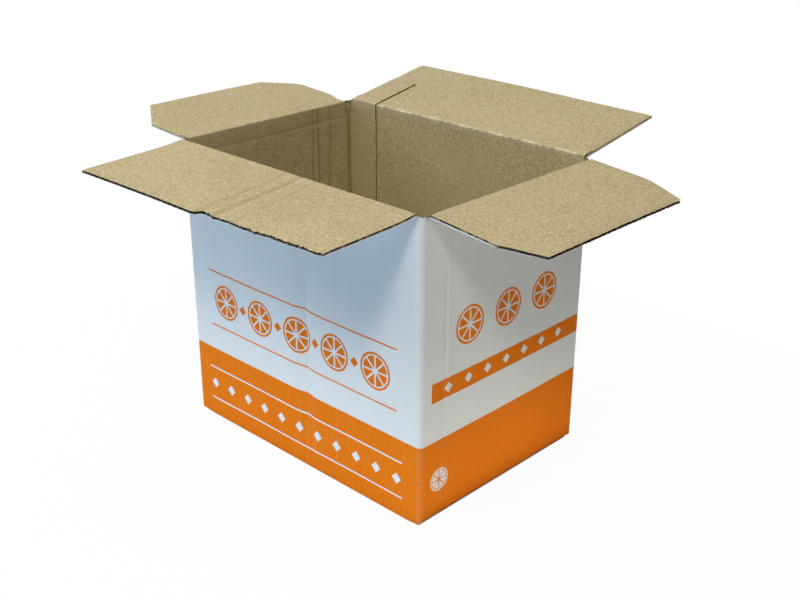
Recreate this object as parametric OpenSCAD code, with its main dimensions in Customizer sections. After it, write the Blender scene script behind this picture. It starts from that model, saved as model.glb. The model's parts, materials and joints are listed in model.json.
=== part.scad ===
// A single wall cardboard case, folded from one fluted sheet and standing open.
// Millimetres, +Z up, origin at the middle of the base, front long wall facing -Y.

/* [Case] */
// Length over the outsides of the two end walls
case_length = 280; // [220:1:400]
// Width over the outsides of the two long walls
case_width = 199; // [160:1:300]
// Height from the base to the folds of the two long flaps
case_height = 259; // [180:1:360]

/* [Board] */
// Thickness of the single wall board
board = 3; // [2.4:0.1:4]
// Thickness of each flat liner
liner = 0.4; // [0.3:0.05:0.6]
// Thickness of the waved medium between the liners
medium = 0.4; // [0.3:0.05:0.6]
// Distance from one flute to the next
flute_pitch = 6.4; // [5:0.1:9]
// How far the flutes stand open behind a cut edge
flute_reach = 12; // [4:1:30]
// Inside radius of the upright folds and of the base folds
fold_inner_radius = 1; // [0.5:0.25:3]

/* [Top flaps] */
// Depth of the front flap from its fold to the whole part of its outer edge
front_flap_depth = 100; // [70:1:110]
// Gap left between the two long flaps when both are shut
meeting_gap = 2; // [1:0.5:8]
// Slot between the end of a long flap and the outside of the end wall
long_flap_slot = 4; // [3.5:0.5:10]
// Depth of the two end flaps
end_flap_depth = 96.5; // [60:0.5:105]
// Clearance between the side of a shut end flap and the long wall
end_flap_clearance = 1; // [0.5:0.25:6]
// Slot between the left flap and the inside of the back wall, beside the tab
tab_slot = 8; // [3:0.5:14]

/* [Opening angles] */
// Angle of the front flap above level
front_flap_angle = -2.5; // [-75:0.5:170]
// Angle of the back flap above level
back_flap_angle = 11; // [-75:0.5:170]
// Angle of the left flap above level
left_flap_angle = 4; // [-75:0.5:170]
// Angle of the right flap above level
right_flap_angle = -5.5; // [-75:0.5:170]

/* [Folds] */
// Radius of the pressed bead that a flap turns on
bead_radius = 0.6; // [0.4:0.1:1]
// Clearance between a bead and the flap around it
bead_gap = 0.3; // [0.2:0.05:0.5]
// Clearance between the two mitred sides of a shut fold
mitre_gap = 0.3; // [0.2:0.05:0.6]
// Clearance between two layers of shut flaps
layer_gap = 0.4; // [0.3:0.1:1]

/* [Glue tab] */
// Width of the tab that joins the left wall to the back wall
tab_width = 30; // [15:1:45]
// Thickness of the pressed tab
tab_thickness = 1.2; // [0.6:0.1:2]
// Depth to which the tab runs on over the back flap
tab_run = 62; // [20:1:80]

/* [Base] */
// Gap between the two outer base flaps
base_seam = 2; // [0.5:0.5:10]
// Depth of the two inner base flaps
base_flap_depth = 96.5; // [60:0.5:105]
// Set-back of the outer base flaps from the outsides of the end walls
base_slot = 4; // [3.5:0.5:10]
// Clearance between an inner base flap and the long wall
base_flap_clearance = 1.5; // [0.5:0.25:6]

/* [Crease] */
// Distance of the front wall's crease to the right of the middle
crease_offset = 11; // [-60:1:60]
// Width of the crease at the wall's face
crease_width = 25; // [10:1:40]
// Depth of the crease
crease_depth = 2.4; // [0.5:0.1:5]
// Height over which the crease fades out at each end
crease_fade = 50; // [10:1:80]
// Distance from the crease's ends to the base and to the fold
crease_margin = 12; // [5:1:30]

/* [Hidden] */

kraft = "#b8a377";
printed_white = "#d9dee0";

// One overrun serves all cuts
overrun = 0.5;
fold_steps = 6;
flute_steps = 6;
bead_facets = 32;

inside_length = case_length - 2 * board;
inside_width = case_width - 2 * board;
fold_outer_radius = fold_inner_radius + board;

// The end flaps fold in first, so their folds lie lower by a layer of board.
// On the left the tab on the back flap takes up its own thickness as well.
right_fold_z = case_height - board - layer_gap;
left_fold_z = right_fold_z - tab_thickness;

back_flap_depth = case_width - front_flap_depth - meeting_gap;
long_flap_half = case_length / 2 - long_flap_slot;
end_flap_half = inside_width / 2 - end_flap_clearance;
tab_side_half = inside_width / 2 - tab_slot;
tab_edge_x = board + tab_width - case_length / 2;

// Outer edges as shares of the flap's half width and depth, seen from above
// with the fold below. A strip is torn off along half of the front flap.
front_edge_shares = [
    [-1, 0.902], [-0.93, 0.914], [-0.86, 0.908], [-0.74, 0.919], [-0.62, 0.92],
    [-0.53, 0.935], [-0.42, 0.938], [-0.33, 0.934], [-0.22, 0.947], [-0.15, 0.94],
    [-0.095, 0.932], [-0.075, 0.997], [1, 1]
];
back_edge_shares = [[-1, 1], [1, 0.98]];
left_edge_shares = [[-1, 0.52], [-0.68, 1], [0.745, 1], [1, 0.785]];
right_edge_shares = [[-1, 0.61], [-0.83, 1], [0.84, 1], [0.955, 0.58], [1, 0.06]];

// Share of a flute on either side of a crest where medium and liner are glued
crest_share = 0.1;
// Share of the crease's width that lies to the left of its valley
crease_left_share = 0.45;

function edge_points(shares, minus_half, plus_half, depth) = [
    for (point = shares)
        [point[0] * (point[0] < 0 ? minus_half : plus_half), point[1] * depth]
];

// Corner points of a rectangle with round corners, anticlockwise
function round_rect(length, width, radius) = [
    for (corner = [0 : 3], step = [0 : fold_steps])
        let (
            angle = 90 * (corner + step / fold_steps),
            side_x = corner == 0 || corner == 3 ? 1 : -1,
            side_y = corner < 2 ? 1 : -1
        )
        [
            side_x * (length / 2 - radius) + radius * cos(angle),
            side_y * (width / 2 - radius) + radius * sin(angle)
        ]
];

// Height of the medium's middle line, at a share of one flute
function wave(share) =
    board / 2 + (board / 2 - liner - medium / 2) * cos(360 * share);

// Open cell above the medium, from crest to crest
function upper_cell() = concat(
    [[(1 - crest_share) * flute_pitch, board - liner], [crest_share * flute_pitch, board - liner]],
    [
        for (step = [0 : flute_steps])
            let (share = crest_share + (1 - 2 * crest_share) * step / flute_steps)
            [share * flute_pitch, wave(share) + medium / 2]
    ]
);

// Four sides of the case in turn: turns about Z, and place of each side's outer face
module at_side(turn, reach, height) {
    rotate([0, 0, turn])
        translate([0, reach, height])
            children();
}

// Extrudes a profile drawn in the Y-Z plane along X, centred
module along_fold(length) {
    rotate([90, 0, 90])
        linear_extrude(length, center = true)
            children();
}

// Bead that a flap turns on
module bead(radius, minus_half, plus_half) {
    translate([-minus_half, 0, 0])
        rotate([0, 90, 0])
            cylinder(r = radius, h = minus_half + plus_half, $fn = bead_facets);
}

// Takes the inside of a wall's top away at 45 degrees, below a fold at the origin
module wall_mitre(length) {
    low = board + overrun;
    along_fold(length)
        polygon([[0, 0], [overrun, 0], [overrun, low], [-low, low], [-low, -low]]);
}

// Rounds the outside of a fold between a wall and the base, at the origin
module base_round(length) {
    along_fold(length)
        polygon(concat(
            [[overrun, -overrun], [overrun, fold_outer_radius]],
            [
                for (step = [0 : fold_steps])
                    let (angle = -90 * step / fold_steps)
                    fold_outer_radius * [cos(angle) - 1, sin(angle) + 1]
            ],
            [[-fold_outer_radius, -overrun]]
        ));
}

// Pressed-in crease of the front wall: a long hipped form with its valley up +Y
module crease_form() {
    left = -crease_left_share * crease_width;
    right = left + crease_width;
    low = crease_margin;
    high = case_height - crease_margin;
    translate([crease_offset, 0, 0])
        polyhedron(
            points = [
                [left, 0, low], [right, 0, low], [right, 0, high], [left, 0, high],
                [0, crease_depth, low + crease_fade], [0, crease_depth, high - crease_fade]
            ],
            faces = [[0, 1, 2, 3], [0, 3, 5, 4], [1, 4, 5, 2], [0, 4, 1], [3, 2, 5]]
        );
}

// Four walls in one ring, with the long walls standing higher between the slots
module walls() {
    linear_extrude(right_fold_z)
        difference() {
            polygon(round_rect(case_length, case_width, fold_outer_radius));
            polygon(round_rect(inside_length, inside_width, fold_inner_radius));
        }
    for (turn = [0, 180])
        at_side(turn, case_width / 2, case_height)
            along_fold(2 * long_flap_half)
                polygon([[0, 0], [-board, 0], [-board, -2 * board], [0, -2 * board]]);
}

// Pressed tab of the left wall, glued inside the back wall
module glue_tab() {
    foot = 2 * board;
    translate([0, case_width / 2 - board / 2, 0])
        rotate([90, 0, 0])
            linear_extrude(board / 2 + tab_thickness)
                polygon([
                    [board / 2 - case_length / 2, foot],
                    [tab_edge_x, foot + tab_width / 2],
                    [tab_edge_x, right_fold_z],
                    [board / 2 - case_length / 2, right_fold_z]
                ]);
}

// Outer base flaps with a seam between them, and the inner pair glued on top
module base_flaps() {
    outer_length = case_length - 2 * base_slot;
    outer_depth = (case_width - base_seam) / 2;
    inner_width = inside_width - 2 * base_flap_clearance;
    for (turn = [0, 180])
        at_side(turn, base_seam / 2, 0)
            translate([-outer_length / 2, 0, 0])
                cube([outer_length, outer_depth, board]);
    for (turn = [90, -90])
        at_side(turn, case_length / 2 - base_flap_depth, board)
            translate([-inner_width / 2, 0, 0])
                cube([inner_width, base_flap_depth - board / 2, board]);
}

module case_body() {
    color(printed_white) {
        difference() {
            union() {
                walls();
                translate([0, board - case_width / 2, 0])
                    crease_form();
                base_flaps();
            }
            translate([0, -case_width / 2, 0])
                crease_form();
            for (turn = [0, 180]) {
                at_side(turn, case_width / 2, case_height)
                    wall_mitre(case_length);
                at_side(turn, case_width / 2, 0)
                    base_round(2 * case_length);
            }
            at_side(90, case_length / 2, left_fold_z)
                wall_mitre(inside_width);
            at_side(-90, case_length / 2, right_fold_z)
                wall_mitre(inside_width);
            for (turn = [90, -90]) {
                at_side(turn, case_length / 2, board)
                    base_round(2 * case_width);
                at_side(turn, case_length / 2 - base_slot, -overrun)
                    translate([-case_width, 0, 0])
                        cube([2 * case_width, base_slot + overrun, board + overrun]);
            }
        }
        glue_tab();
        for (turn = [0, 180])
            at_side(turn, case_width / 2, case_height)
                bead(bead_radius, long_flap_half, long_flap_half);
        at_side(90, case_length / 2, left_fold_z)
            bead(bead_radius, end_flap_half, tab_side_half);
        at_side(-90, case_length / 2, right_fold_z)
            bead(bead_radius, end_flap_half, end_flap_half);
    }
}

// Flutes that stand open along a flap's outer edge, above and below the medium
module open_flutes(edge, minus_half, plus_half, depth) {
    count = floor((minus_half + plus_half) / flute_pitch - 1);
    start = (plus_half - minus_half - count * flute_pitch) / 2;
    for (flute = [0 : count - 1]) {
        left = start + flute * flute_pitch;
        from = lookup(left + flute_pitch / 2, edge) - flute_reach;
        translate([left, depth + overrun, 0])
            rotate([90, 0, 0])
                linear_extrude(depth + overrun - from)
                    polygon(upper_cell());
        translate([left + flute_pitch / 2, depth + overrun, board])
            rotate([-90, 0, 0])
                translate([0, 0, from - depth - overrun])
                    linear_extrude(depth + overrun - from)
                        polygon(upper_cell());
    }
}

// One flap, lying out along +Y from its fold with its inner face up
module flap(edge, minus_half, plus_half, depth) {
    high = board + overrun;
    difference() {
        linear_extrude(board)
            polygon(concat([[-minus_half, 0]], edge, [[plus_half, 0]]));
        along_fold(2 * case_length)
            polygon([
                [mitre_gap - high, -high], [mitre_gap + high, high], [mitre_gap - high, high]
            ]);
        bead(bead_radius + bead_gap, minus_half + overrun, plus_half + overrun);
        open_flutes(edge, minus_half, plus_half, depth);
    }
}

module front_flap() {
    color(kraft)
        at_side(180, case_width / 2, case_height)
            rotate([front_flap_angle, 0, 0])
                flap(
                    edge_points(front_edge_shares, long_flap_half, long_flap_half, front_flap_depth),
                    long_flap_half, long_flap_half, front_flap_depth
                );
}

// Tab of the joint where it runs on over the inner face of the back flap
module tab_on_flap() {
    first = board + tab_thickness + layer_gap;
    translate([0, 0, board / 2])
        linear_extrude(board / 2 + tab_thickness)
            polygon([
                [-long_flap_half, first],
                [tab_edge_x, first],
                [tab_edge_x, tab_run],
                [-long_flap_half, tab_run + tab_width / 4]
            ]);
}

module back_flap() {
    color(kraft)
        at_side(0, case_width / 2, case_height)
            rotate([back_flap_angle, 0, 0]) {
                flap(
                    edge_points(back_edge_shares, long_flap_half, long_flap_half, back_flap_depth),
                    long_flap_half, long_flap_half, back_flap_depth
                );
                tab_on_flap();
            }
}

module left_flap() {
    color(kraft)
        at_side(90, case_length / 2, left_fold_z)
            rotate([left_flap_angle, 0, 0])
                flap(
                    edge_points(left_edge_shares, end_flap_half, tab_side_half, end_flap_depth),
                    end_flap_half, tab_side_half, end_flap_depth
                );
}

module right_flap() {
    color(kraft)
        at_side(-90, case_length / 2, right_fold_z)
            rotate([right_flap_angle, 0, 0])
                flap(
                    edge_points(right_edge_shares, end_flap_half, end_flap_half, end_flap_depth),
                    end_flap_half, end_flap_half, end_flap_depth
                );
}

case_body();
front_flap();
back_flap();
left_flap();
right_flap();
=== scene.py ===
import json
import math

import bmesh
import bpy
import numpy as np
from mathutils import Matrix, Vector


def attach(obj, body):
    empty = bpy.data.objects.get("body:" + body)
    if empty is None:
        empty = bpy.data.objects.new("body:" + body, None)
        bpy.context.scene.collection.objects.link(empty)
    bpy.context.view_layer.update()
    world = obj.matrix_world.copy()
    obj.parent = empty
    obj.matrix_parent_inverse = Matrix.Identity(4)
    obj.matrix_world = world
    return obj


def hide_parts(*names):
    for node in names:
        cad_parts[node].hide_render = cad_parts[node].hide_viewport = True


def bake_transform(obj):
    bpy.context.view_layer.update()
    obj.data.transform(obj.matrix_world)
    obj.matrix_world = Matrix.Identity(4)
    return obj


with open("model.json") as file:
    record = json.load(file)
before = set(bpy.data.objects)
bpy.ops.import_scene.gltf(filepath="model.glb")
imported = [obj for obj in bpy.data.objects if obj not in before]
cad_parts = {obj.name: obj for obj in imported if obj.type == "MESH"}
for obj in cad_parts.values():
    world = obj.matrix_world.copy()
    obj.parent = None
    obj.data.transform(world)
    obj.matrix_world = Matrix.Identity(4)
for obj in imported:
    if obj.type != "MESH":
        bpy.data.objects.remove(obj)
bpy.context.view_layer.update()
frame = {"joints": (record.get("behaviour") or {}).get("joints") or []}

# View
# The camera stands off the near corner of the box, about a metre away and a little above it.
# Its place and lens come from the corners of the box in the photo.
eye = Vector((0.6456, -0.6463, 0.5217))
ahead = Vector((-0.63617, 0.65946, -0.40049))
roll = math.radians(0.2067)
view_data = bpy.data.cameras.new("photo_view")
view_data.sensor_width = 36.0
view_data.lens = 51.11
view = bpy.data.objects.new("photo_view", view_data)
turned = ahead.to_track_quat("-Z", "Y").to_matrix().to_4x4() @ Matrix.Rotation(roll, 4, "Z")
view.matrix_world = Matrix.Translation(eye) @ turned
bpy.context.scene.collection.objects.link(view)
bpy.context.scene.camera = view
bpy.context.scene.view_settings.view_transform = "Standard"

# Walls
# Four walls folded from one sheet of single wall corrugated board: a white printed liner outside and a
# bare kraft liner inside. They stand on the base flaps, and each ends at the pressed fold of a top flap.
MM = 0.001
folds = {joint["child"]: joint for joint in frame["joints"]}
fold_height = {child: joint["pos_m"][2] / MM for child, joint in folds.items()}
half_length = folds["right_flap"]["pos_m"][0] / MM
half_width = folds["back_flap"]["pos_m"][1] / MM
board = 3.0
corner_radius = 4.0
straight_length = half_length - corner_radius
straight_width = half_width - corner_radius
tab_slot = 8.0
left_root = half_width - board - tab_slot


class Value:
    # A socket of the material being made. Arithmetic on it adds Math nodes.
    tree = None

    def __init__(self, socket):
        self.socket = socket

    @classmethod
    def node(cls, kind, settings, inputs, output=0):
        made = cls.tree.nodes.new(kind)
        for name, setting in settings.items():
            setattr(made, name, setting)
        for name, value in inputs.items():
            if isinstance(value, Value):
                cls.tree.links.new(value.socket, made.inputs[name])
            else:
                made.inputs[name].default_value = value
        return cls(made.outputs[output])

    def part(self, output):
        return Value(self.socket.node.outputs[output])

    def math(self, operation, *others):
        return self.node("ShaderNodeMath", {"operation": operation}, dict(enumerate((self, *others))))

    def __add__(self, other):
        return self.math("ADD", other)

    def __sub__(self, other):
        return self.math("SUBTRACT", other)

    def __rsub__(self, other):
        return self.node("ShaderNodeMath", {"operation": "SUBTRACT"}, {0: other, 1: self})

    def __mul__(self, other):
        return self.math("MULTIPLY", other)

    def __truediv__(self, other):
        return self.math("DIVIDE", other)

    def __mod__(self, other):
        return self.math("FLOORED_MODULO", other)

    def __abs__(self):
        return self.math("ABSOLUTE")

    __radd__ = __add__
    __rmul__ = __mul__

    def held(self):
        return self.node("ShaderNodeClamp", {}, {"Value": self})

    def under(self, limit, soft=0.3):
        # 1 where the value is below the limit, 0 above it, with an edge as wide as soft.
        return ((limit - self) / soft + 0.5).held()

    def mixed(self, low, high):
        # A colour that goes from low to high as the value goes from 0 to 1.
        return self.node("ShaderNodeMix", {"data_type": "RGBA"}, {0: self, 6: low, 7: high}, 2)


fibre_stretch = 0.14
bump_depth = 0.0002
flute_pitch = 6.4


def grain(place, scale, detail=2.0, roughness=0.55):
    inputs = {"Vector": place, "Scale": scale, "Detail": detail, "Roughness": roughness}
    return Value.node("ShaderNodeTexNoise", {}, inputs)


def fibres(place, turn, fine):
    # Grain drawn out along one direction.
    inputs = {"Vector": place, "Rotation": turn, "Scale": (fine, fine * fibre_stretch, fine)}
    return grain(Value.node("ShaderNodeMapping", {}, inputs), scale=1.0, roughness=0.6)


def swing(noise, amount):
    # A noise counted from its middle, to move a tone either way.
    return (noise - 0.5) * amount


def flute_ridge(along):
    return (along * (2.0 * math.pi / flute_pitch)).math("SINE")


def begin(name):
    # A new material, the position on the piece in metres and in millimetres, and its amount of creasing,
    # which also carries painted shade in the inside corners and a painted highlight on the fold ridges.
    material = bpy.data.materials.new(name)
    material.use_nodes = True
    Value.tree = material.node_tree
    place = Value.node("ShaderNodeTexCoord", {}, {}, "Object")
    apart = Value.node("ShaderNodeSeparateXYZ", {}, {"Vector": place})
    across = {axis: apart.part(axis) * (1.0 / MM) for axis in "XYZ"}
    crease = Value.node("ShaderNodeAttribute", {"attribute_name": "crease"}, {}, "Fac")
    return material, place, across, crease


def complete(material, colour, roughness, height, bump, gloss):
    shader = material.node_tree.nodes["Principled BSDF"]
    normal = Value.node("ShaderNodeBump", {}, {"Strength": bump, "Distance": bump_depth, "Height": height})
    for socket, value in {"Base Color": colour, "Roughness": roughness, "Normal": normal}.items():
        material.node_tree.links.new(value.socket, shader.inputs[socket])
    shader.inputs["Specular IOR Level"].default_value = gloss
    return material


kraft_dark, kraft_light = (0.315, 0.250, 0.130, 1.0), (0.655, 0.565, 0.352, 1.0)
# The second pair: darker kraft for crease marks and painted shade, paler kraft for scuffing and painted
# highlight.
kraft_crease_shade, kraft_scuff_highlight = (0.235, 0.180, 0.095, 1.0), (0.82, 0.76, 0.58, 1.0)
# Flecks in the kraft: how fine, how detailed, the noise they start at, how soft, how strong, what colour.
kraft_flecks = [
    (520.0, 1.0, 0.67, 0.05, 0.35, (0.30, 0.215, 0.125, 1.0)),
    (240.0, 2.0, 0.60, 0.10, 0.35, (0.52, 0.38, 0.26, 1.0)),
    (430.0, 1.0, 0.68, 0.05, 0.50, (0.68, 0.60, 0.41, 1.0)),
]


def kraft_liner(name, axis):
    # Bare kraft: mottled tan with fine fibres, dark, pink and straw flecks, and faint ridges over the flutes.
    # Creasing above 0 darkens it, for crease marks and for painted shade in the inside corners, and below 0
    # makes it pale, for scuffing and for a painted highlight on the fold ridges.
    material, place, across, crease = begin(name)
    cloud = grain(place, scale=14.0, detail=3.0)
    mottle = grain(place, scale=170.0, detail=3.0, roughness=0.65)
    speck = grain(place, scale=1300.0, roughness=0.65)
    strand = fibres(place, turn=(0.4, 0.7, 0.5), fine=1400.0)
    cross_strand = fibres(place, turn=(-0.5, 0.3, -0.9), fine=1100.0)
    tone = 0.46 + swing(cloud, 0.35) + swing(mottle, 0.4) + swing(speck, 4.2)
    tone = (tone + swing(strand, 0.8) + swing(cross_strand, 0.6)).held()
    colour = tone.mixed(kraft_dark, kraft_light)
    for fine, detail, limit, soft, strength, fleck in kraft_flecks:
        cover = (1.0 - grain(place, fine, detail).under(limit, soft)) * strength
        colour = cover.mixed(colour, fleck)
    wear_and_painted_light = (crease * (0.45 + 0.8 * mottle)).held()
    colour = wear_and_painted_light.mixed(colour, kraft_crease_shade)
    scuff_and_highlight = ((0.0 - crease) * (0.3 + mottle)).held()
    colour = scuff_and_highlight.mixed(colour, kraft_scuff_highlight)
    ridge = flute_ridge(across[axis])
    height = strand * 0.35 + cross_strand * 0.3 + speck * 0.35 + mottle * 0.4 + ridge * 0.12 - crease * 0.4
    roughness = 0.82 + 0.14 * speck
    return complete(material, colour, roughness, height, bump=0.55, gloss=0.08)


paper_dull, paper_bright = (0.785, 0.805, 0.795, 1.0), (0.885, 0.905, 0.900, 1.0)
orange_deep, orange_bright = (0.830, 0.180, 0.003, 1.0), (0.930, 0.245, 0.008, 1.0)
rubbed_paper = (0.60, 0.52, 0.40, 1.0)
ink_wobble = 0.7


def printed_liner(name, axis, ink, bare):
    # White top liner with one ink: ink is where the orange lies and bare where it is left out.
    material, place, across, crease = begin(name)
    along = across[axis]
    up = across["Z"]
    cloud = grain(place, scale=11.0, detail=3.0)
    mottle = grain(place, scale=210.0, detail=3.0, roughness=0.6)
    speck = grain(place, scale=1300.0)
    strand = fibres(place, turn=(0.9, 0.2, 0.6), fine=1500.0)
    tone = (0.5 + swing(cloud, 0.6) + swing(mottle, 0.5) + swing(speck, 0.5)).held()
    paper = tone.mixed(paper_dull, paper_bright)
    ridge = flute_ridge(along)
    cover = (tone + ridge * 0.06).held()
    orange = cover.mixed(orange_deep, orange_bright)
    wobble = swing(grain(place, scale=90.0), ink_wobble)
    inked = (ink(along + wobble, up + wobble) * (1.0 - bare(along, up))).held()
    pinhole = (1.0 - speck.under(0.69, soft=0.04)) * 0.35
    colour = (inked * (1.0 - pinhole)).mixed(paper, orange)
    rubbed = (crease * (0.2 + 0.9 * mottle)).held() * 0.55
    colour = rubbed.mixed(colour, rubbed_paper)
    height = strand * 0.3 + speck * 0.25 + ridge * 0.22 + mottle * 0.3 - crease * 0.4
    roughness = 0.62 + 0.16 * speck - inked * 0.08
    return complete(material, colour, roughness, height, bump=0.4, gloss=0.03)


def cut_board(name, light, dark):
    # The raw edge where the knife went through the board: short fibres of the kraft sheets. Given dark
    # colours it makes painted shade for hollows and shaded edges.
    material, place = begin(name)[:2]
    speck = grain(place, scale=1500.0, detail=3.0, roughness=0.7)
    mottle = grain(place, scale=300.0)
    tone = (0.5 + swing(speck, 1.3) + swing(mottle, 0.9)).held()
    colour = tone.mixed(dark, light)
    roughness = 0.9 + 0.08 * speck
    return complete(material, colour, roughness, speck * 0.8 + mottle * 0.5, bump=0.7, gloss=0.15)


line_share, core_share, flesh_share, rind_share = 0.05, 0.14, 0.80, 0.88
slice_segments = 8


def slice_of_fruit(across, up, radius):
    # A round of fruit cut across: a rind and segments parted by thin lines.
    reach = (across * across + up * up).math("SQRT")
    turn = up.math("ARCTAN2", across) * (slice_segments / (2.0 * math.pi))
    off_line = (0.5 - abs(turn % 1.0 - 0.5)) * reach * (2.0 * math.pi / slice_segments)
    wedge = (1.0 - off_line.under(radius * line_share)) * reach.under(radius * flesh_share)
    rind = reach.under(radius) * (1.0 - reach.under(radius * rind_share))
    return wedge * (1.0 - reach.under(radius * core_share)) + rind


def lozenge(across, up, half):
    return (abs(across) + abs(up)).under(half)


def repeated(along, pitch):
    # The place within each repeat of a row, counted from the middle of the repeat.
    return (along + pitch / 2) % pitch - pitch / 2


rule_half = 0.7


def rule_pair(along, up, heights, half_run):
    # Two thin level lines, centred on the wall.
    high, low = heights
    return (abs(up - high).under(rule_half) + abs(up - low).under(rule_half)) * abs(along).under(half_run)


band_top = 72.0
band_rules = (52.0, 20.0)
band_run = 121.0
band_seed_pitch = 23.0
band_seed_height = 36.0
band_seed_half = 5.0
long_slices, end_slices = 5, 3
slice_pitch = 46.0
slice_radius = 16.0
slice_height = 122.0
slice_rules = (148.0, 96.0)
seed_half = 4.5


def long_ink(along, up):
    # The band at the foot, and above it a row of slices and seeds between two thin lines.
    band = up.under(band_top)
    row = abs(along).under(long_slices / 2 * slice_pitch)
    fruit = slice_of_fruit(repeated(along, slice_pitch), up - slice_height, slice_radius)
    seeds = lozenge(along % slice_pitch - slice_pitch / 2, up - slice_height, seed_half)
    seeds = seeds * abs(along).under((long_slices - 1) / 2 * slice_pitch)
    rules = rule_pair(along, up, slice_rules, long_slices / 2 * slice_pitch)
    return (band + fruit * row + seeds + rules).held()


def long_bare(along, up):
    # White seeds and lines in the band.
    seeds = lozenge(repeated(along, band_seed_pitch), up - band_seed_height, band_seed_half)
    seeds = seeds * abs(along).under(band_run)
    return (seeds + rule_pair(along, up, band_rules, band_run)).held()


stripe_low = 106.5
stripe_high = 123.0
stripe_start = 12.0
stripe_run = 75.0
end_slice_height = 160.0
mark_height = 36.0
mark_inset = 22.0
mark_radius = 10.0


def end_ink(along, up):
    # The band, a stripe above it that stops short of the front corner, and a row of slices.
    band = up.under(band_top)
    stripe = up.under(stripe_high) * (1.0 - up.under(stripe_low))
    stripe = stripe * (1.0 - along.under(stripe_start - half_width))
    row = abs(along).under(end_slices / 2 * slice_pitch)
    fruit = slice_of_fruit(repeated(along, slice_pitch), up - end_slice_height, slice_radius)
    return (band + stripe + fruit * row).held()


def end_bare(along, up):
    # A small white round of fruit in the corner of the band, and seeds in the stripe.
    fruit = slice_of_fruit(along + (half_width - mark_inset), up - mark_height, mark_radius)
    seeds = lozenge(repeated(along, band_seed_pitch), up - (stripe_low + stripe_high) / 2, seed_half)
    seeds = seeds * abs(along).under(stripe_run)
    return (fruit + seeds).held()


far_below = -1000.0


def no_ink(along, up):
    return up.under(far_below)


kraft_long = kraft_liner("kraft_long", "X")
kraft_end = kraft_liner("kraft_end", "Y")
print_long = printed_liner("print_long", "X", long_ink, long_bare)
print_end = printed_liner("print_end", "Y", end_ink, end_bare)
white_long = printed_liner("white_long", "X", no_ink, no_ink)
white_end = printed_liner("white_end", "Y", no_ink, no_ink)
cut_edge = cut_board("cut_edge", (0.42, 0.33, 0.195, 1.0), (0.20, 0.145, 0.08, 1.0))
# The cut edge of the waved sheet, darkened with painted shade for its recess, and also used on the edge of
# the tab on the wall.
shaded_cut_edge = cut_board("shaded_cut_edge", (0.26, 0.195, 0.115, 1.0), (0.12, 0.088, 0.05, 1.0))
# Painted shade: near black, for the hollows of the flutes, open side grooves, the cut edges of the tab over
# the fold and on the flap, and the cut faces of the post beside the tab.
flute_painted_shade = cut_board("flute_painted_shade", (0.10, 0.073, 0.043, 1.0), (0.035, 0.026, 0.016, 1.0))
sharp_angle = math.radians(38.0)


class Sheet:
    # Points in millimetres and faces of one piece, each point with its amount of creasing, painted shade or
    # painted highlight.
    def __init__(self):
        self.points = []
        self.creases = []
        self.faces = []
        self.slots = []

    def table(self, points, creases=0.0):
        # Adds a table of points and gives back the table of their numbers.
        first = len(self.points)
        shape = points.shape[:2]
        self.points.extend(points.reshape(-1, 3).tolist())
        self.creases.extend(np.broadcast_to(creases, shape).reshape(-1).tolist())
        return first + np.arange(shape[0] * shape[1]).reshape(shape)

    def face(self, corners, slot):
        kept = [int(c) for i, c in enumerate(corners) if c != corners[i - 1]]
        if len(kept) > 2:
            self.faces.append(kept)
            self.slots.append(slot)

    def cover(self, numbers, slots):
        # Joins neighbours in a table with faces. slots has the material of each column of faces.
        for row in range(numbers.shape[0] - 1):
            for column in range(numbers.shape[1] - 1):
                low, high = numbers[row], numbers[row + 1]
                self.face([low[column], low[column + 1], high[column + 1], high[column]], slots[column])

    def make(self, name, materials, place=Matrix.Identity(4)):
        mesh = bpy.data.meshes.new(name)
        mesh.from_pydata([place @ (Vector(p) * MM) for p in self.points], [], self.faces)
        for material in materials:
            mesh.materials.append(material)
        mesh.polygons.foreach_set("material_index", self.slots)
        mesh.attributes.new("crease", "FLOAT", "POINT").data.foreach_set("value", self.creases)
        form = bmesh.new()
        form.from_mesh(mesh)
        bmesh.ops.delete(form, geom=[v for v in form.verts if not v.link_faces], context="VERTS")
        bmesh.ops.recalc_face_normals(form, faces=form.faces)
        form.to_mesh(mesh)
        form.free()
        mesh.polygons.foreach_set("use_smooth", [True] * len(mesh.polygons))
        mesh.set_sharp_from_angle(angle=sharp_angle)
        piece = bpy.data.objects.new(name, mesh)
        bpy.context.scene.collection.objects.link(piece)
        return piece


def notch(off, reach):
    # 1 on a line, falling evenly to 0 at reach to either side.
    return np.clip(1.0 - np.abs(off) / reach, 0.0, 1.0)


# Creases of each wall: place, slant over the height, reach, depth inward and how marked the line is.
wall_creases = {
    "front": [(11.0, 0.0, 12.5, 2.4, 0.25), (1.0, 2.0, 2.5, 0.3, 0.2), (18.0, -3.0, 3.0, -0.35, 0.2),
              (47.0, 1.0, 2.5, 0.3, 0.2)],
    "right": [(-74.0, 2.0, 3.0, 0.35, 0.3), (-69.0, -1.0, 2.5, -0.25, 0.15)],
    "back": [(-40.0, 2.0, 3.0, 0.25, 0.1), (62.0, -3.0, 3.0, -0.25, 0.15)],
    "left": [(46.0, 1.0, 2.2, -0.4, 0.7), (53.0, -1.0, 2.2, 0.45, 0.95), (67.0, 2.0, 2.5, -0.45, 0.7),
             (90.4, 1.0, 2.0, 0.4, 0.9), (93.8, -1.0, 2.0, 0.3, 1.0), (-22.0, 3.0, 3.0, 0.3, 0.15)],
}
crease_low, crease_high, crease_fade = 12.0, 247.0, 50.0
mark_width, mark_gain = 0.9, 12.0
bow_depth = {"front": 0.5, "right": 0.8, "back": 0.7, "left": 0.9}
bow_height = 255.0
ripple_depth, ripple_margin = 0.22, 20.0
ripple_along, ripple_up = 19.0, 34.0
along_start, up_start = 1.3, 0.4
flat_above, flat_fade, foot_fade = 252.0, 12.0, 10.0


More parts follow.
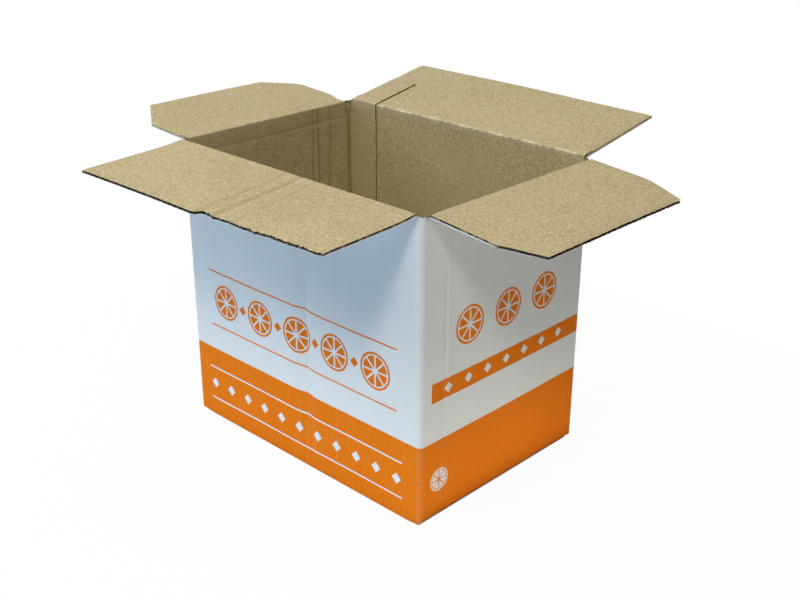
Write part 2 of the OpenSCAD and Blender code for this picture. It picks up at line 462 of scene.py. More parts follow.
def lean(panel, along, height):
    # How far a wall stands out of its plane, and how creased it is there.
    half = straight_length if panel in ("front", "back") else straight_width
    ends = np.clip((half - np.abs(along)) / ripple_margin, 0.0, 1.0)
    bow = np.cos(0.5 * np.pi * along / half) * np.sin(np.pi * np.clip(height / bow_height, 0.0, 1.0))
    ripple = np.sin(along / ripple_along + along_start) * np.sin(height / ripple_up + up_start) * ends
    shift = bow_depth[panel] * bow + ripple_depth * ripple
    fade = np.clip(np.minimum(height - crease_low, crease_high - height) / crease_fade, 0.0, 1.0)
    marked = np.zeros_like(shift)
    for place, slant, reach, depth, mark in wall_creases[panel]:
        off = along - place - slant * (height / bow_height - 0.5)
        shift = shift - depth * notch(off, reach) * fade
        line = mark * np.exp(-(off / mark_width) ** 2)
        marked = np.maximum(marked, line * np.clip(fade * mark_gain, 0.0, 1.0))
    top = np.clip((flat_above - height) / flat_fade, 0.0, 1.0)
    return shift * top * np.clip(height / foot_fade, 0.0, 1.0), marked


column_step = 3.0
crease_columns = np.array([-1.6, -0.8, 0.0, 0.8, 1.6])
least_step = 0.3


def spots(half, near):
    # Places along a wall, closer together near the creases.
    places = [np.linspace(-half, half, int(2 * half / column_step) + 1)]
    places += [place + crease_columns for place in near]
    merged = np.unique(np.concatenate(places).round(2))
    return merged[np.concatenate(([True], np.diff(merged) > least_step))]


# The ring has every column of the walls and corners, from the left end of the front wall round the box.
walls = Sheet()
ring = []
stretches = []
corner_points = 8
arc_steps = np.linspace(0.0, 0.5 * np.pi, corner_points)
root_slack = 0.1
wall_plan = [
    ("front", (0, -1), (1, 0), half_width, straight_length),
    ("right", (1, 0), (0, 1), half_length, straight_width),
    ("back", (0, 1), (-1, 0), half_width, straight_length),
    ("left", (-1, 0), (0, -1), half_length, straight_width),
]
for panel, out, way, distance, half in wall_plan:
    sign = way[0] + way[1]
    marked_places = [crease[0] for crease in wall_creases[panel]]
    if panel == "left":
        marked_places.append(left_root)
    places = sorted(spots(half, marked_places), reverse=sign < 0)
    start = len(ring)
    for place in places:
        foot = [out[0] * distance, out[1] * distance]
        foot[0 if way[0] else 1] = place
        ring.append((panel, place, foot, out))
    if panel == "left":
        # The left flap stops short of the back wall, so the post beside the tab is wider.
        start += sum(place > left_root + root_slack for place in places)
    stretches.append((panel, start, len(ring) - 1))
    corner = [(out[0] + way[0]) * straight_length, (out[1] + way[1]) * straight_width]
    for angle in arc_steps[1:-1]:
        facing = [out[i] * math.cos(angle) + way[i] * math.sin(angle) for i in (0, 1)]
        foot = [corner[i] + corner_radius * facing[i] for i in (0, 1)]
        ring.append(("corner", angle / (0.5 * np.pi) * (1 if out[1] else -1), foot, facing))

panels = np.array([entry[0] for entry in ring])
places = np.array([entry[1] for entry in ring], float)
feet = np.array([entry[2] for entry in ring], float)
facings = np.array([entry[3] for entry in ring], float)
is_long = (panels == "front") | (panels == "back")
is_corner = panels == "corner"

# The end walls stand on the outer base flaps, so their lower folds are one board higher.
corner_foot, corner_foot_radius = 1.0, 2.6
foot_rise_run = 14.0
inside_step, end_inside_rise = 0.75, 1.0
turn_share = np.where(places >= 0.0, np.abs(places), 1.0 - np.abs(places))
near_corner = np.clip((np.abs(places) - (straight_length - foot_rise_run)) / foot_rise_run, 0.0, 1.0)
wall_foot = np.where(is_long, corner_foot * near_corner ** 2, board)
foot_height = np.where(is_corner, corner_foot + (board - corner_foot) * turn_share, wall_foot)
foot_radius = np.where(is_corner, corner_foot_radius, corner_radius)
inside_height = np.where(is_long, board, board + end_inside_rise)
ring_height = 250.0
level_start, level_step = 8.0, 4.0
round_rows = np.array([0.0, 0.45, 1.1, 2.1, corner_radius])
level_rows = np.append(np.arange(level_start, ring_height - level_step / 2, level_step), ring_height)

# Each wall ends at its fold. The corners have none.
mitre, end_mitre = 3.0, 6.0
fold_gap, fold_drop, fold_thickness = 0.35, 0.08, 0.02
no_fold = 1000.0
fold_of = {panel: fold_height[panel + "_flap"] for panel in wall_creases}
top_height = np.array([fold_of.get(panel, no_fold) for panel in panels])
pressed = np.where(is_long, mitre, end_mitre)


def thickness(rise, reach):
    # The board is pressed to a slope towards a fold, which leaves room for the flap to shut.
    return np.clip(board * (rise - fold_gap) / reach, fold_thickness, board)


def shifted(height):
    # Shift and crease of every column of the ring at its own height.
    shift = np.zeros(len(ring))
    marked = np.zeros(len(ring))
    for panel in wall_creases:
        here = panels == panel
        shift[here], marked[here] = lean(panel, places[here], height[here])
    return shift, marked


# Outside, the corners have the print rubbed. Inside, they are darkened, partly as the crushed liner of the
# fold and partly as painted shade in the corner.
corner_rubbed, corner_crease_shade = 0.22, 0.6
outer_rows, inner_rows, outer_marks, inner_marks = [], [], [], []
for row in range(len(round_rows) + len(level_rows)):
    if row < len(round_rows):
        rise = round_rows[row]
        away = np.clip(foot_radius - rise, 0.0, None)
        inset = foot_radius - np.sqrt(np.clip(foot_radius ** 2 - away ** 2, 0.0, None))
        outer_height = foot_height + rise
        inner_height = inside_height + inside_step * row
    else:
        inset = np.zeros(len(ring))
        outer_height = np.full(len(ring), level_rows[row - len(round_rows)])
        inner_height = outer_height
    shift, marked = shifted(outer_height)
    outer_xy = feet + facings * (shift - inset)[:, None]
    outer_rows.append(np.column_stack((outer_xy, outer_height)))
    outer_marks.append(np.maximum(marked, np.where(is_corner, corner_rubbed, 0.0)))
    shift, marked = shifted(inner_height)
    deep = thickness(top_height - inner_height, pressed)
    inner_rows.append(np.column_stack((feet + facings * (shift - deep)[:, None], inner_height)))
    inner_marks.append(np.maximum(marked, np.where(is_corner, corner_crease_shade, 0.0)))

wall_finishes = [print_long, print_end, kraft_long, kraft_end, cut_edge, flute_painted_shade]
PRINT_LONG, PRINT_END, KRAFT_LONG, KRAFT_END, RAW, SHADED = range(len(wall_finishes))
wrap = np.arange(len(ring) + 1) % len(ring)
outer_ring = walls.table(np.array(outer_rows), np.array(outer_marks))
inner_ring = walls.table(np.array(inner_rows), np.array(inner_marks))
long_side = is_long | (is_corner & (turn_share < 0.5))
outer_slots = np.where(long_side, PRINT_LONG, PRINT_END)
inner_slots = np.where(long_side, KRAFT_LONG, KRAFT_END)
walls.cover(outer_ring[:, wrap], outer_slots)
walls.cover(inner_ring[:, wrap], inner_slots)
walls.cover(np.array([outer_ring[0], inner_ring[0]])[:, wrap], inner_slots)

# Rows above the ring, as shares of the way to the top, and the slits between a flap's fold and the posts.
upper_shares = np.array([0.22, 0.4, 0.54, 0.67, 0.78, 0.87, 0.935, 0.98, 1.0])
slit, slit_depth, slit_start = 0.5, 2.6, 0.08


def upper_stretch(columns, top, folded, slots):
    # The top of a wall or a corner above the ring, ending at a fold or at a cut.
    heights = ring_height + (top - ring_height) * upper_shares[:, None]
    along = np.gradient(feet[columns], axis=0)
    along /= np.linalg.norm(along, axis=1)[:, None]
    squeeze = np.zeros(len(columns))
    squeeze[0], squeeze[-1] = slit, -slit
    outer, inner = [outer_ring[-1][columns]], [inner_ring[-1][columns]]
    for tall in heights:
        ring_tall = np.zeros(len(ring))
        ring_tall[columns] = tall
        shift, marked = shifted(ring_tall)
        opened = np.clip(1.0 - (top - tall) / slit_depth, slit_start, 1.0)
        foot = feet[columns] + along * (squeeze * opened)[:, None]
        deep = thickness(top - tall, pressed[columns]) if folded else board
        out_points = np.column_stack((foot + facings[columns] * shift[columns][:, None], tall))
        in_points = np.column_stack((foot + facings[columns] * (shift[columns] - deep)[:, None], tall))
        outer.append(walls.table(out_points[None])[0])
        inner.append(walls.table(in_points[None], marked[columns][None])[0])
    outer, inner = np.array(outer), np.array(inner)
    walls.cover(outer, outer_slots[columns])
    walls.cover(inner, inner_slots[columns])
    walls.cover(np.array([outer[-1], inner[-1]]), inner_slots[columns] if folded else slots)
    for end in (0, -1):
        walls.cover(np.column_stack((outer[:, end], inner[:, end])), slots)


# The corner posts are torn off level between the flaps. Each is named by the wall before it.
post_top = {"front": 258.3, "right": 258.6, "back": 259.6, "left": 258.0}
post_rag = 0.45
post_seed = 17
post_rough = np.random.default_rng(post_seed)
for index, (panel, start, end) in enumerate(stretches):
    columns = np.arange(start, end + 1)
    top = np.full(len(columns), fold_of[panel] - fold_drop)
    upper_stretch(columns, top, True, np.full(len(ring), RAW))
    next_start = stretches[index + 1][1] if index + 1 < len(stretches) else len(ring)
    columns = np.arange(end, next_start + 1) % len(ring)
    ragged = post_top[panel] + post_rag * post_rough.normal(0.0, 1.0, len(columns))
    # The cut faces of the post after the back wall, beside the tab, are coloured with painted shade.
    upper_stretch(columns, ragged, False, np.full(len(ring), SHADED if panel == "back" else RAW))

case_walls = walls.make("case_walls", wall_finishes)
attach(case_walls, "case_body")
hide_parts("case_body")

# Base flaps
# Four flaps of the same board folded in under the case and glued: the two short ones above, the two long
# ones below, meeting at a seam along the middle. Their cut edges show the waves of the middle sheet.
liner = 0.4
medium = 0.4
flute_reach = 10.0
flute_shares = np.array([0.08, 0.19, 0.31, 0.42, 0.58, 0.69, 0.81, 0.92])
crest_half, crest_fall, crest_touch = 0.08, 0.34, 0.001
edge_margin, edge_recess, core_rag = 1.0, 0.6, 0.5
fold_rows = np.array([0.0, 0.3, 0.8, 1.5, 2.4, 3.6, 5.0, 7.0])
plain_rows = np.array([0.0, 7.0])
row_step, root_share = 4.0, 0.6
side_crush, edge_crush, crush_reach, least_share = 0.24, 0.2, 2.0, 0.4
groove_low, groove_high, groove_lip, groove_depth = 0.36, 0.92, 0.04, 1.3
groove_edges = [(groove_low - groove_lip, 0.0), (groove_low, groove_depth),
                (groove_high, groove_depth), (groove_high + groove_lip, 0.0)]
shut_groove = 0.35
pinch_range, pinch_start, pinch_least = 1.6, -0.2, 0.05
side_rag = 0.25
slot_reach, slot_hold = 24.0, 6.0
# The fourth finish is painted shade for hollows and open grooves, the fifth the waved sheet's edge darkened
# with painted shade.
KRAFT, WHITE, CUT, DARK, WAVE = range(5)


def flap_finishes(name):
    # The flutes follow one another along X in the long flaps and along Y in the end ones.
    faces = [kraft_end, white_end] if name.startswith(("left", "right")) else [kraft_long, white_long]
    return [*faces, cut_edge, flute_painted_shade, shaded_cut_edge]


def fluted_flap(minus, plus, edge, folded, bend, rag, seed, slot=0.0, gape=1.0):
    # A flap lying out along +Y from its fold at the origin, printed face down at height 0. edge gives its
    # depth at each place along the fold, bend its lift and creasing, rag how torn its edge is, slot how much
    # narrower its plus end is at the fold, and gape how far its side edges stand open.
    sheet = Sheet()
    rough = np.random.default_rng(seed)
    waves = int(round((minus + plus - 2 * edge_margin) / flute_pitch))
    phase = np.concatenate(([0.0], (np.arange(waves)[:, None] + flute_shares).ravel(), [waves]))
    inner_along = -minus + edge_margin + phase / waves * (minus + plus - 2 * edge_margin)
    along = np.concatenate(([-minus], inner_along, [plus]))
    depth = edge(along)
    torn = rag(along)
    upper_edge = depth + torn * rough.normal(0.0, 1.0, len(along))
    lower_edge = depth + torn * rough.normal(0.0, 1.0, len(along))
    core_edge = depth - edge_recess + core_rag * torn * rough.normal(0.0, 1.0, len(along))
    root = fold_rows if folded else plain_rows
    steps = np.linspace(0.0, 1.0, int(np.max(depth) / row_step) + 2)[1:, None]
    squeeze = np.minimum(1.0, root_share * depth / root[-1])

    def rows(limit):
        near = root[:, None] * squeeze[None]
        return np.vstack((near, near[-1] + (limit - near[-1]) * steps))

    def spread(deep):
        # Places along the flap at each depth.
        by_end = np.clip(1.0 - (plus - along) / slot_reach, 0.0, 1.0)
        by_fold = np.clip((slot_reach - deep) / (slot_reach - slot_hold), 0.0, 1.0)
        return along - slot * by_fold * by_end

    def placed(deep, height):
        lift, marked = bend(np.broadcast_to(along, deep.shape), deep)
        return np.dstack((spread(deep), deep, height + lift)), marked

    def thick(deep):
        # Full board, thinner towards the fold and crushed by the knife at the cut edges.
        to_side = np.minimum(along + minus, plus - along)
        crushed = 1.0 - side_crush * np.exp(-to_side / crush_reach)
        crushed = crushed - edge_crush * np.exp(-(depth - deep) / crush_reach)
        return np.maximum(crushed, least_share) * (thickness(deep, mitre) if folded else board)

    upper_rows, lower_rows = rows(upper_edge), rows(lower_edge)
    upper = sheet.table(*placed(upper_rows, thick(upper_rows)))
    lower = sheet.table(*placed(lower_rows, np.zeros_like(lower_rows)))
    last = len(along) - 1
    sheet.cover(upper, np.full(last, KRAFT))
    sheet.cover(lower, np.full(last, WHITE))

    # Side edges, cut along the flutes: the white liner, a groove pinched or shut, and the kraft liner. An
    # open groove is coloured with painted shade.
    sides = {}
    shut_paper = CUT if gape > shut_groove else KRAFT
    for column, inward in ((0, 1.0), (last, -1.0)):
        full = thick(upper_rows)[:, column]
        lift = bend(np.broadcast_to(along, upper_rows.shape), upper_rows)[0][:, column]
        ragged = side_rag * rough.random(len(full)) * full / board
        pinched = np.clip(pinch_range * rough.random(len(full)) + pinch_start, pinch_least, gape)
        strips = []
        for share, back in groove_edges:
            off = spread(upper_rows)[:, column]
            off = off + inward * (back * pinched * full / board + (ragged if not back else 0.0))
            strips.append(np.column_stack((off, upper_rows[:, column], share * full + lift)))
        numbers = sheet.table(np.array(strips).transpose(1, 0, 2))
        whole = np.column_stack((lower[:, column], numbers, upper[:, column]))
        for row in range(len(full) - 1):
            inside = DARK if pinched[row] > shut_groove else shut_paper
            sheet.cover(whole[row:row + 2], [WHITE, inside, inside, inside, CUT])
        sides[column] = numbers

    # Outer edge: liners and the waved sheet between them, with the flutes open behind. The hollows behind are
    # coloured with painted shade, and the waved sheet's edge is darkened with painted shade.
    full = thick(depth[None])[0]
    scale = full / board
    whole_phase = np.concatenate(([0.0], phase, [waves]))
    from_crest = np.abs(whole_phase - np.round(whole_phase))
    crest = 0.5 * (1.0 + np.cos(np.pi * np.clip((from_crest - crest_half) / crest_fall, 0.0, 1.0)))
    wave_low = (liner + (board - 2 * liner - medium) * crest) * scale
    wave_high = wave_low + medium * scale
    back_edge = depth - np.minimum(flute_reach, 0.5 * depth)

    def line(deep, height):
        return sheet.table(placed(deep[None], height[None])[0])[0]

    low_lip, high_lip = line(lower_edge, liner * scale), line(upper_edge, full - liner * scale)
    low_back, high_back = line(back_edge, liner * scale), line(back_edge, full - liner * scale)
    on_low, on_high = crest < crest_touch, crest > 1.0 - crest_touch
    wave_low_front = np.where(on_low, low_lip, line(core_edge, wave_low))
    wave_high_front = np.where(on_high, high_lip, line(core_edge, wave_high))
    wave_low_back = np.where(on_low, low_back, line(back_edge, wave_low))
    wave_high_back = np.where(on_high, high_back, line(back_edge, wave_high))
    body = slice(1, last)
    fronts = ((lower[-1], low_lip, WHITE), (wave_low_front, wave_high_front, WAVE),
              (high_lip, upper[-1], CUT))
    for front_low, front_high, paper in fronts:
        sheet.cover(np.array([front_low[body], front_high[body]]), np.full(last, paper))
    cells = ((low_lip, low_back, wave_low_front, wave_low_back, on_low),
             (wave_high_front, wave_high_back, high_lip, high_back, on_high))
    for floor, floor_back, roof, roof_back, shut in cells:
        for k in range(1, last - 1):
            if not (shut[k] and shut[k + 1]):
                sheet.face([floor[k], floor[k + 1], floor_back[k + 1], floor_back[k]], DARK)
                sheet.face([roof[k], roof[k + 1], roof_back[k + 1], roof_back[k]], DARK)
                sheet.face([floor_back[k], floor_back[k + 1], roof_back[k + 1], roof_back[k]], DARK)
        for k in (1, last - 1):
            if not shut[k]:
                sheet.face([floor[k], floor_back[k], roof_back[k], roof[k]], DARK)

    # Corners of the outer edge and of the fold, where the side edges meet them.
    for column, beside in ((0, 1), (last, last - 1)):
        stack = [low_lip[beside], wave_low_front[beside], wave_high_front[beside], high_lip[beside]]
        side = sides[column]
        sheet.face([lower[-1][column], lower[-1][beside], *stack, upper[-1][beside], upper[-1][column],
                    *side[-1][::-1]], CUT)
        sheet.face([lower[0][column], lower[0][beside], upper[0][beside], upper[0][column],
                    *side[0][::-1]], CUT)
    sheet.cover(np.array([lower[0][body], upper[0][body]]), np.full(last, CUT))
    return sheet


def level(along, deep):
    return np.zeros_like(deep), np.zeros_like(deep)


def even(depth):
    return lambda along: np.full_like(along, depth)


base_seam = 0.3
base_clearance = 1.5
base_rag = 0.1
base_seed = 40
long_base_depth = straight_width - base_seam / 2
short_base_depth = 93.5
short_base_half = half_width - board - base_clearance
base_plan = [
    ("front_base_flap", 0.0, (0.0, -straight_width, 0.0), straight_length, long_base_depth),
    ("back_base_flap", 180.0, (0.0, straight_width, 0.0), straight_length, long_base_depth),
    ("left_base_flap", -90.0, (board - half_length, 0.0, board), short_base_half, short_base_depth),
    ("right_base_flap", 90.0, (half_length - board, 0.0, board), short_base_half, short_base_depth),
]
for index, (name, turn, foot, half, depth) in enumerate(base_plan):
    place = Matrix.Translation(Vector(foot) * MM) @ Matrix.Rotation(math.radians(turn), 4, "Z")
    flap = fluted_flap(half, half, even(depth), False, level, even(base_rag), base_seed + index)
    piece = flap.make(name, flap_finishes(name), place)
    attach(piece, "case_body")

# Top flaps
# Four flaps of the same board, each hinged on its pressed fold and laid out. Their kraft inner faces look
# up, their outer edges show the flutes, and the front one is creased and has lost a strip of its edge.
flap_turns = {"front_flap": 180.0, "back_flap": 0.0, "left_flap": 90.0, "right_flap": -90.0}


def rest_slope(name):
    # How far a flap lies above level at rest.
    return math.radians(180.0 - folds[name]["range_deg"][1])


def at_fold(name):
    # The place of a fold, turned so that its flap lies out along +Y.
    turn = math.radians(flap_turns[name])
    return Matrix.Translation(Vector(folds[name]["pos_m"])) @ Matrix.Rotation(turn, 4, "Z")


def cut_line(shares, minus, plus, depth):
    # The depth of a flap's edge, from shares of its half width and of its depth.
    across = [share * (minus if share < 0 else plus) for share, _ in shares]
    return lambda along: np.interp(along, across, [share * depth for _, share in shares])


crease_run = 100.0
wave_length, wave_onset = 41.0, 60.0
drop_onset = 15.0
quick_onset, slow_onset = 1.5, 14.0


def creased(lines, wave, turn, rise, twist=0.0):
    # Lines across a flap: place at the fold, place 100 out, reach, drop, how marked it is and how wide.
    # rise is how far the flap lies above its fold, and twist how far its plus corner is lifted. A flap that
    # lies below its fold falls away slowly, so that it can hang beside the wall.
    onset = quick_onset if rise > 0.0 else slow_onset

    def bend(along, deep):
        lift = wave * np.sin(along / wave_length + turn) * np.clip(deep / wave_onset, 0.0, 1.0)
        lift = lift + rise * (1.0 - np.exp(-(deep / onset) ** 2))
        lift = lift + twist * (along + straight_length) / (2 * straight_length) * deep / crease_run
        marked = np.zeros_like(deep)
        for near, far, reach, drop, mark, wide in lines:
            off = along - near - (far - near) * deep / crease_run
            lift = lift - drop * notch(off, reach) * np.clip(deep / drop_onset, 0.0, 1.0)
            marked = np.maximum(marked, mark * np.exp(-(off / wide) ** 2))
        return lift, marked

    return bend


torn_end = -8.0
torn_rag, cut_rag = 0.55, 0.14


def torn_front(along):
    # The front flap is torn from its minus end to near its middle.
    return np.where(along < torn_end, torn_rag, cut_rag)


front_shares = [(-1, .902), (-.93, .914), (-.86, .908), (-.74, .919), (-.62, .92), (-.53, .935), (-.42, .938),
                (-.33, .934), (-.22, .947), (-.15, .94), (-.095, .932), (-.075, .997), (1, 1)]
back_shares = [(-1, 1), (1, .98)]
left_shares = [(-1, .52), (-.68, 1), (.69, 1), (1, .725)]
right_shares = [(-1, .61), (-.83, 1), (.865, 1), (1, .64)]
front_creases = [(-16.0, -27.0, 5.0, 0.7, 0.42, 2.4), (-14.6, -25.5, 2.0, 0.25, 0.42, 0.9),
                 (-1.0, -10.0, 4.0, -0.4, 0.30, 1.8), (-33.0, -47.0, 4.0, 0.3, 0.20, 1.8),
                 (-62.0, -70.0, 4.0, 0.25, 0.12, 1.4)]
back_creases = [(40.0, 52.0, 4.0, 0.3, 0.12, 1.4), (-52.0, -60.0, 4.0, 0.25, 0.1, 1.4)]
left_creases = [(40.0, 52.0, 4.0, 0.3, 0.15, 1.4), (-20.0, -14.0, 4.0, 0.2, 0.1, 1.4)]
right_creases = [(-30.0, -20.0, 4.0, 0.25, 0.1, 1.4)]
rises = {"front_flap": -1.4, "back_flap": 0.0, "left_flap": 3.1, "right_flap": 2.75}
front_bend = creased(front_creases, wave=0.5, turn=0.4, rise=rises["front_flap"])
back_bend = creased(back_creases, wave=0.5, turn=1.9, rise=rises["back_flap"], twist=-2.2)
left_bend = creased(left_creases, wave=0.4, turn=0.8, rise=rises["left_flap"])
right_bend = creased(right_creases, wave=0.4, turn=2.4, rise=rises["right_flap"])
front_depth, back_depth, end_depth = 100.0, 97.0, 96.5
left_plus = 94.5
plain_rag, right_rag = 0.16, 0.2
open_side, shut_side = 1.0, 0.1
flap_seed = 60
# Each flap: its two ends, outline, depth, bend, ragged edge, narrowing at the fold and open side edges.
flap_plan = {
    "front_flap": (straight_length, straight_length, front_shares, front_depth,
                   front_bend, torn_front, 0.0, open_side),
    "back_flap": (straight_length, straight_length, back_shares, back_depth,
                  back_bend, even(plain_rag), 0.0, shut_side),
    "left_flap": (straight_width, left_plus, left_shares, end_depth,
                  left_bend, even(plain_rag), left_plus - left_root, shut_side),
    "right_flap": (straight_width, straight_width, right_shares, end_depth,
                   right_bend, even(right_rag), 0.0, open_side),
}
flap_places = {}
for index, (name, plan) in enumerate(flap_plan.items()):
    minus, plus, shares, depth, bend, rag, slot, gape = plan
    flap_places[name] = at_fold(name) @ Matrix.Rotation(rest_slope(name), 4, "X")
    edge = cut_line(shares, minus, plus, depth)
    flap = fluted_flap(minus, plus, edge, True, bend, rag, flap_seed + index, slot, gape)
    piece = flap.make(name + "_board", flap_finishes(name), flap_places[name])
    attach(piece, name)
    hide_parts(name)

# Fold liners
# The kraft liner where it runs over the folds of the back and left flaps: a sharp ridge, painted pale in
# places, partly as scuffing and partly as a painted highlight on the ridge. It runs from the inside of the
# wall to the inside of the flap, shaped for the flap at rest.
liner_reach = 9.0
liner_depth = 1.4
liner_sunk = 0.25
ridge_bevel = 0.8
wall_drops = (liner_reach, 6.0, 3.0, 0.5)
flap_runs = (0.5, 2.5, 5.5, liner_reach)
ridge_steps = np.linspace(0.0, 1.0, 5)
FACE, EDGE = range(2)


def strip(sheet, lower, upper, creases=0.0):
    # A closed strip between two tables of points with the same shape. The edges take the second material: cut
    # board on the fold liners, painted shade on the tab.
    low, high = sheet.table(lower), sheet.table(upper, creases)
    sheet.cover(low, np.full(low.shape[1], FACE))
    sheet.cover(high, np.full(low.shape[1], FACE))
    for row in (0, -1):
        sheet.cover(np.array([low[row], high[row]]), np.full(low.shape[1], EDGE))
    for column in (0, -1):
        sheet.cover(np.column_stack((low[:, column], high[:, column])), [EDGE])


def fold_section(slope, rise, above):
    # Points from the wall over the fold to the flap, that far above the kraft faces, with the ends sunk in.
    # The fold is the origin, the first number runs outward and the second up.
    side = -(board + above)
    height = board + above + rise
    out = np.array([math.cos(slope), math.sin(slope)])
    up = np.array([-math.sin(slope), math.cos(slope)])
    corner_reach = (height * math.sin(slope) + side) / math.cos(slope)
    corner = corner_reach * out + height * up
    below = corner - np.array([0.0, ridge_bevel])
    beyond = corner + ridge_bevel * out
    ridge = [(1 - t) ** 2 * below + 2 * t * (1 - t) * corner + t ** 2 * beyond for t in ridge_steps]
    wall_side = [np.array([side, -drop]) for drop in wall_drops]
    wall_side[0][0] = side + liner_sunk
    flap_side = [run * out + height * up for run in flap_runs]
    flap_side[-1] = flap_runs[-1] * out + (height - liner_sunk) * up
    return np.array(wall_side + ridge + flap_side)


def waved(along, waves, middle=0.0):
    # Sines laid on one another: the depth, rate and start of each.
    return sum((depth * np.sin(along * rate + start) for depth, rate, start in waves), middle)


ridge_shares = np.array([0.0, 0.0, 0.0, 0.1, 0.3, 0.7, 1.0, 0.7, 0.3, 0.1, 0.0, 0.0, 0.0])
wall_rows = 7
dent_waves = [(0.16, 0.55, 0.0), (0.14, 0.21, 1.0), (0.1, 1.3, 0.0)]
pale_waves = [(0.5, 0.17, 0.5), (0.4, 0.71, 0.0)]
dent_outward = 0.5


def fold_piece(name, flap, along, above, below, pale_ridge, lines, materials):
    # A strip over the fold of a flap that follows the wall at one side and the flap at the other. lines are
    # the places and strengths of the wall's creases that run up to the fold.
    place = at_fold(flap)
    dents = waved(along, dent_waves)
    tables = []
    for height in (below, above):
        section = fold_section(rest_slope(flap), rises[flap], height)
        shape = np.zeros((len(section), len(along), 3))
        shape[:, :, 0] = along
        shape[:, :, 1] = section[:, 0][:, None] + dent_outward * ridge_shares[:, None] * dents
        shape[:, :, 2] = section[:, 1][:, None] + ridge_shares[:, None] * dents
        tables.append(shape)
    # Along the ridge the kraft is painted pale: partly scuffing, partly a painted highlight.
    wear_and_painted_light = np.clip(waved(along, pale_waves, 0.5), 0.0, 1.0)
    creases = -pale_ridge * ridge_shares[:, None] * wear_and_painted_light
    on_wall = np.arange(len(ridge_shares)) < wall_rows
    for spot, strength in lines:
        mark = np.exp(-((along - spot) / mark_width) ** 2)
        creases = np.maximum(creases, strength * on_wall[:, None] * mark)
    sheet = Sheet()
    strip(sheet, *tables, creases)
    piece = sheet.make(name, materials, place)
    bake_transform(piece)


cover_above = 0.12
cover_below = cover_above - liner_depth
liner_inset = 0.4
back_columns, left_columns = 180, 230
back_pale_ridge, left_pale_ridge = 1.2, 0.35
left_lines = [(crease[0] + 0.5 * crease[1], crease[4]) for crease in wall_creases["left"]]
back_along = np.linspace(liner_inset - straight_length, straight_length - liner_inset, back_columns)
left_along = np.linspace(liner_inset - straight_width, left_root - liner_inset, left_columns)
fold_piece("back_fold_liner", "back_flap", back_along, cover_above, cover_below, back_pale_ridge, [],
           [kraft_long, cut_edge])
fold_piece("left_fold_liner", "left_flap", left_along, cover_above, cover_below, left_pale_ridge, left_lines,
           [kraft_end, cut_edge])

# Glue tab
# A thin pressed strip of the sheet at the end of the left wall, glued flat on the inside of the back wall
# to join the case. It runs on over the fold, and a tongue of it is glued on the back flap.
# The tab's cut edges are coloured with painted shade, as if a dark gap lay under them.
tab_width = 34.0
tab_thickness = 1.2
tab_foot = 7.0
tab_lap = 0.5
tab_sunk = 0.1
tab_proud = 0.03
tab_pale_ridge = 0.5
tab_left = -134.5
tab_edge = tab_width + board - half_length
tab_columns, tab_rows, fold_columns, tongue_rows = 9, 54, 16, 28

tab_places = np.linspace(board - half_length - tab_lap, tab_edge, tab_columns)
tab_heights = np.linspace(tab_foot, fold_height["back_flap"] - liner_reach + tab_lap, tab_rows)
wall_tab = Sheet()
across, height = np.meshgrid(tab_places, tab_heights)
shift = lean("back", np.clip(across, -straight_length, None), height)[0]
face_y = half_width + shift - board
glued_face = np.dstack((across, face_y + tab_sunk, height))
strip(wall_tab, glued_face, np.dstack((across, face_y - tab_thickness, height)))
tab_on_wall = wall_tab.make("tab_on_wall", [kraft_long, shaded_cut_edge])
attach(tab_on_wall, "case_body")

tab_along = np.linspace(tab_left, tab_edge, fold_columns)
fold_piece("tab_on_fold", "back_flap", tab_along, tab_thickness + tab_proud, 0.0, tab_pale_ridge, [],
           [kraft_long, flute_painted_shade])

# The tongue is full at the slit along its inner edge, and thins out to its other side and its end.
tongue_run, tongue_slant = 52.0, 0.25
slit_reach, side_reach = 6.0, 8.0
thin_end, thin_share = 1.02, 0.2
flap_tab = Sheet()
tongue_places = np.linspace(tab_left, tab_edge, tab_columns)
across, share = np.meshgrid(tongue_places, np.linspace(0.0, 1.0, tongue_rows))
first = liner_reach - tab_lap
deep = first + share * (tongue_run - first + tongue_slant * (tab_edge - across))
face_z = board + back_bend(across, deep)[0]
by_slit = np.exp((across - tab_edge) / slit_reach)
thinned = np.sqrt(np.clip((across + straight_length) / side_reach, 0.0, 1.0))
thinned = thinned * np.clip((thin_end - share) / thin_share, 0.0, 1.0)
layer = tab_thickness * (by_slit + (1.0 - by_slit) * thinned)
glued_face = np.dstack((across, deep, face_z - tab_sunk))
strip(flap_tab, glued_face, np.dstack((across, deep, face_z + layer)))
tab_on_flap = flap_tab.make("tab_on_flap", [kraft_long, flute_painted_shade], flap_places["back_flap"])
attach(tab_on_flap, "back_flap")

# Floor and light
# A plain white sheet of floor, a wide soft light at the left, one overhead and weaker ones all round, two of
# them low cards on the floor. Floor and surround are white to the camera, and the floor keeps the shadow.
floor_x, floor_y, floor_z = 0.45, 0.4, -0.0002
floor_grey = (0.85, 0.85, 0.85, 1.0)
floor_roughness, floor_gloss = 0.9, 0.1
floor_glow = 0.96
white = (1.0, 1.0, 1.0, 1.0)
floor_corners = [(x * floor_x, y * floor_y, floor_z) for x, y in ((-1, -1), (1, -1), (1, 1), (-1, 1))]
floor_mesh = bpy.data.meshes.new("floor")
floor_mesh.from_pydata(floor_corners, [], [(0, 1, 2, 3)])
floor = bpy.data.objects.new("floor", floor_mesh)
bpy.context.scene.collection.objects.link(floor)
floor_material = bpy.data.materials.new("floor")
floor_material.use_nodes = True
Value.tree = floor_material.node_tree
paint = floor_material.node_tree.nodes["Principled BSDF"]
paint.inputs["Base Color"].default_value = floor_grey
paint.inputs["Roughness"].default_value = floor_roughness
paint.inputs["Specular IOR Level"].default_value = floor_gloss
seen = Value.node("ShaderNodeLightPath", {}, {}, "Is Camera Ray")
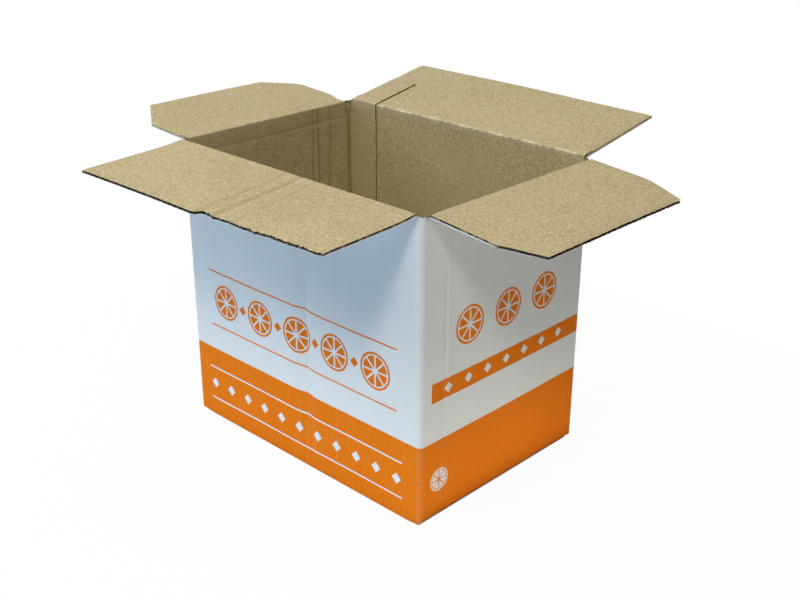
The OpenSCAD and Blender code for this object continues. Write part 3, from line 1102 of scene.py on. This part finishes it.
glow = Value.node("ShaderNodeEmission", {}, {"Color": white, "Strength": 1.0})
blank = Value.node("ShaderNodeMixShader", {}, {0: seen * floor_glow, 1: Value(paint.outputs[0]), 2: glow})
surface = floor_material.node_tree.nodes["Material Output"].inputs["Surface"]
floor_material.node_tree.links.new(blank.socket, surface)
floor_mesh.materials.append(floor_material)

# Each light: its place, what it faces, its size, its power in watts and its colour.
box_middle = (0.0, 0.0, 0.15)
box_low = (0.0, 0.0, 0.12)
lights = [
    ("left_window", (-1.7, -0.3, 1.3), box_middle, (2.0, 1.2), 25.5, (0.92, 0.97, 1.0)),
    ("right_lamp", (0.62, -0.95, 1.38), box_middle, (0.36, 0.36), 8.5, (1.0, 0.97, 0.89)),
    ("front_high", (0.0, -1.2, 1.6), box_middle, (1.6, 0.7), 7.0, (1.0, 0.98, 0.95)),
    ("ceiling", (0.2, 0.0, 2.0), (0.2, 0.0, 0.0), (1.5, 1.5), 14.5, (1.0, 0.95, 0.88)),
    ("cool_low", (-0.2, -1.7, 0.2), box_low, (1.4, 0.35), 7.0, (0.15, 0.54, 1.0)),
    ("end_low", (1.5, -0.35, 0.15), (0.1, 0.0, 0.1), (0.8, 0.25), 0.9, (1.0, 0.98, 0.88)),
    ("back_fill", (-0.2, 1.7, 0.45), box_low, (1.2, 0.5), 9.0, (1.0, 0.99, 0.97)),
    ("front_card", (0.0, -0.215, 0.003), (0.0, -0.215, 1.0), (0.36, 0.2), 0.05, (0.80, 0.91, 1.0)),
    ("end_card", (0.255, 0.0, 0.003), (0.255, 0.0, 1.0), (0.2, 0.28), 0.13, (1.0, 0.98, 0.88)),
]
for name, spot, target, (width, height), power, colour in lights:
    lamp = bpy.data.lights.new(name, "AREA")
    lamp.shape = "RECTANGLE"
    lamp.size = width
    lamp.size_y = height
    lamp.energy = power
    lamp.color = colour
    soft_light = bpy.data.objects.new(name, lamp)
    aim = (Vector(target) - Vector(spot)).to_track_quat("-Z", "Y").to_matrix().to_4x4()
    soft_light.matrix_world = Matrix.Translation(Vector(spot)) @ aim
    bpy.context.scene.collection.objects.link(soft_light)
    soft_light.visible_camera = False

dim = (0.02, 0.02, 0.02, 1.0)
surround = bpy.data.worlds.new("surround")
surround.use_nodes = True
bpy.context.scene.world = surround
Value.tree = surround.node_tree
seen = Value.node("ShaderNodeLightPath", {}, {}, "Is Camera Ray")
sky = surround.node_tree.nodes["Background"]
surround.node_tree.links.new(seen.mixed(dim, white).socket, sky.inputs["Color"])
